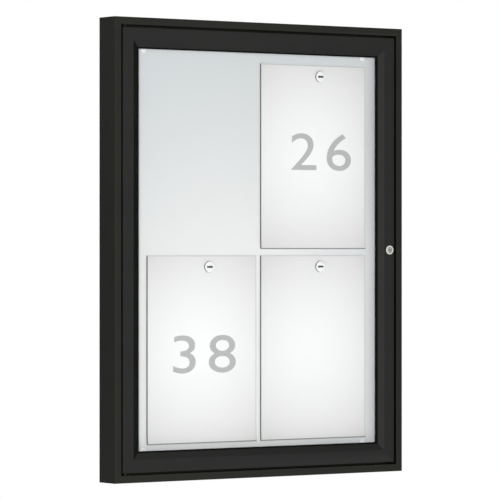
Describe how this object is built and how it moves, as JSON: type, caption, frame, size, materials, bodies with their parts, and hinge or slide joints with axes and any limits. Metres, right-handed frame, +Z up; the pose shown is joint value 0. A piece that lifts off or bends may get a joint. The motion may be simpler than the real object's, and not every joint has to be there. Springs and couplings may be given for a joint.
{
  "type": "lockable notice board",
  "caption": "Wall-mounted glazed display case for upright A4 notices, with a side-hung door on pivot pins, a magnetic panel and a cam lock.",
  "frame": {"origin": "middle of the flat rear face that lies on the wall", "axes": "+X to the right seen from the front, +Y back into the wall, +Z up"},
  "size_m": [0.56, 0.045, 0.725],
  "materials": {
    "casing_aluminium": "black-brown fine-grained powder coat on extruded aluminium",
    "door_aluminium": "black-brown fine-grained powder coat on extruded aluminium",
    "cast_aluminium": "die-cast, untreated",
    "enamelled_steel": "smooth white enamel",
    "backing_wood": "pressed wood chip board",
    "galvanised_steel": "zinc coated sheet",
    "steel": "zinc plated",
    "white_plastic": "moulded, satin",
    "black_rubber": "extruded EPDM, matt",
    "nylon": "moulded nylon, natural",
    "paper": "matt card",
    "clear_glass": "clear toughened float glass",
    "chromed_brass": "satin nickel and chrome plate"
  },
  "bodies": {
    "root": {"casing_top_rail": "casing_aluminium", "casing_bottom_rail": "casing_aluminium", "casing_left_stile": "casing_aluminium", "casing_right_stile": "casing_aluminium", "casing_cleat_top_left": "cast_aluminium", "casing_cleat_top_right": "cast_aluminium", "casing_cleat_bottom_left": "cast_aluminium", "casing_cleat_bottom_right": "cast_aluminium", "magnetic_panel": "enamelled_steel", "backing_board": "backing_wood", "rear_cover": "galvanised_steel", "rear_cover_screw_1": "steel", "rear_cover_screw_2": "steel", "rear_cover_screw_3": "steel", "rear_cover_screw_4": "steel", "rear_cover_screw_5": "steel", "rear_cover_screw_6": "steel", "wall_fixing_sleeve_top_left": "steel", "wall_fixing_sleeve_top_right": "steel", "wall_fixing_sleeve_bottom_left": "steel", "wall_fixing_sleeve_bottom_right": "steel", "wall_fixing_cap_top_left": "white_plastic", "wall_fixing_cap_top_right": "white_plastic", "wall_fixing_cap_bottom_left": "white_plastic", "wall_fixing_cap_bottom_right": "white_plastic", "door_seal": "black_rubber", "pivot_pin_top": "steel", "pivot_washer_top": "nylon", "pivot_pin_bottom": "steel", "pivot_washer_bottom": "nylon", "notice_sheet_upper_right": "paper", "notice_magnet_upper_right": "white_plastic", "notice_sheet_lower_left": "paper", "notice_magnet_lower_left": "white_plastic", "notice_sheet_lower_right": "paper", "notice_magnet_lower_right": "white_plastic"},
    "door": {"door_top_rail": "door_aluminium", "door_bottom_rail": "door_aluminium", "door_left_stile": "door_aluminium", "door_right_stile": "door_aluminium", "door_cleat_top_left": "cast_aluminium", "door_cleat_top_right": "cast_aluminium", "door_cleat_bottom_left": "cast_aluminium", "door_cleat_bottom_right": "cast_aluminium", "glass_pane": "clear_glass", "glass_front_gasket": "black_rubber", "glass_rear_gasket": "black_rubber", "glazing_bead_top": "door_aluminium", "glazing_bead_bottom": "door_aluminium", "glazing_bead_left": "door_aluminium", "glazing_bead_right": "door_aluminium", "pivot_bush_top": "nylon", "pivot_bush_bottom": "nylon", "lock_barrel": "chromed_brass", "lock_retaining_plate": "steel"},
    "lock": {"lock_plug": "chromed_brass", "lock_cam": "galvanised_steel", "lock_cam_screw": "steel"}
  },
  "joints": [
    {"name": "door_hinge", "type": "hinge", "parent": "root", "child": "door", "pos_m": [-0.2565, -0.0365, 0], "axis": [0, 0, -1], "range_deg": [0, 110]},
    {"name": "lock_turn", "type": "hinge", "parent": "door", "child": "lock", "pos_m": [0.255, -0.0365, 0], "axis": [0, -1, 0], "range_deg": [0, 90]}
  ]
}
